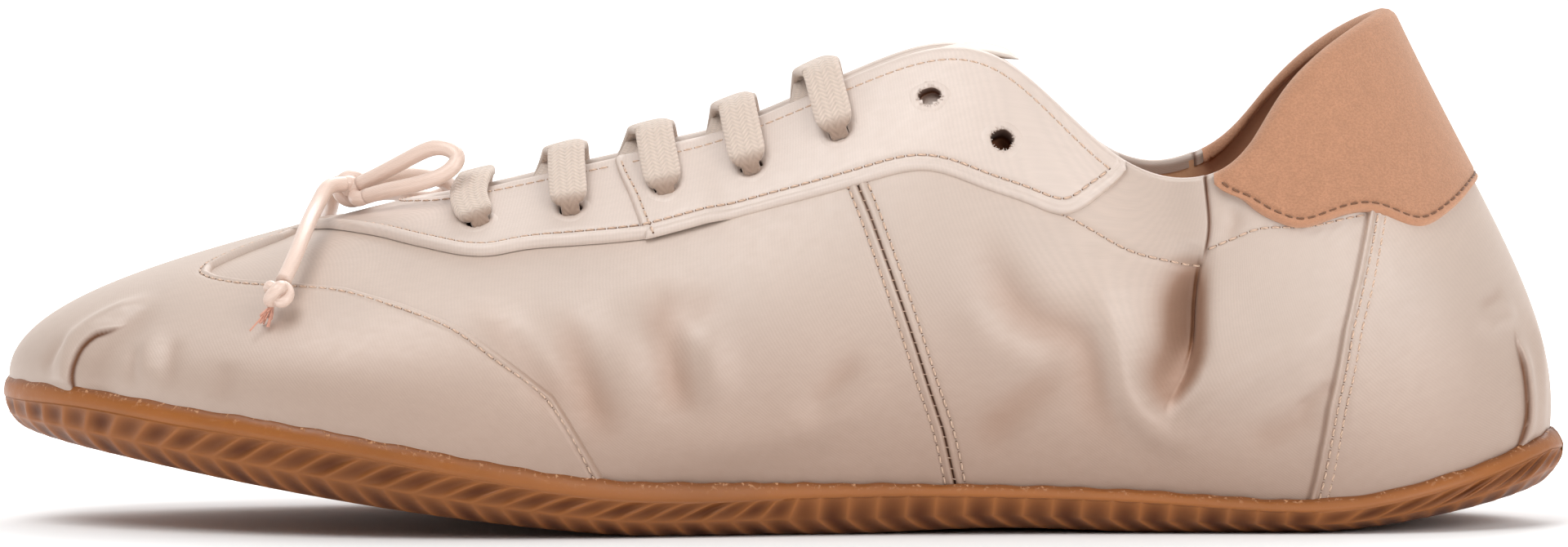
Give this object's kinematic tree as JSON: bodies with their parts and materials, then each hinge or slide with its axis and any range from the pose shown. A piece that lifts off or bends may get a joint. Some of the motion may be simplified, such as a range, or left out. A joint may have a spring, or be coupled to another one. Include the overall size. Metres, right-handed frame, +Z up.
{
  "type": "ballet sneaker",
  "caption": "Low satin lace-up shoe with the last of a ballet slipper, round toe cap, drawstring bow at the throat, suede heel tab and a thin ribbed gum rubber cup sole.",
  "frame": {"origin": "on the floor, under the middle of the shoe's length and width", "axes": "-X to the toe, +X to the heel, -Y to the lateral side, +Y to the medial side, +Z up"},
  "size_m": [0.2548, 0.0865, 0.0849],
  "materials": {
    "gum_rubber": "satin",
    "insole_leather": "smooth",
    "satin": "satin weave",
    "tongue_satin": "satin weave",
    "toe_satin": "satin weave",
    "stay_satin": "satin weave",
    "suede": "suede nap",
    "cotton_lace": "flat braid",
    "satin_cord": "satin twill"
  },
  "bodies": {
    "root": {"outsole": "gum_rubber", "insole": "insole_leather", "upper": "satin", "tongue": "tongue_satin", "toe_cap": "toe_satin", "vamp_strip": "toe_satin", "eyestay_front": "stay_satin", "eyestay_lateral": "stay_satin", "eyestay_medial": "stay_satin", "heel_tab": "suede", "lace_bar_1": "cotton_lace", "lace_cross_2": "cotton_lace", "lace_cross_3": "cotton_lace", "lace_cross_4": "cotton_lace", "lace_cross_5": "cotton_lace", "bow_knot": "satin_cord", "bow_loop_lateral": "satin_cord", "bow_loop_medial": "satin_cord", "bow_end_lateral": "satin_cord", "bow_end_medial": "satin_cord", "bow_end_knot_lateral": "satin_cord", "bow_end_knot_medial": "satin_cord"}
  },
  "joints": []
}
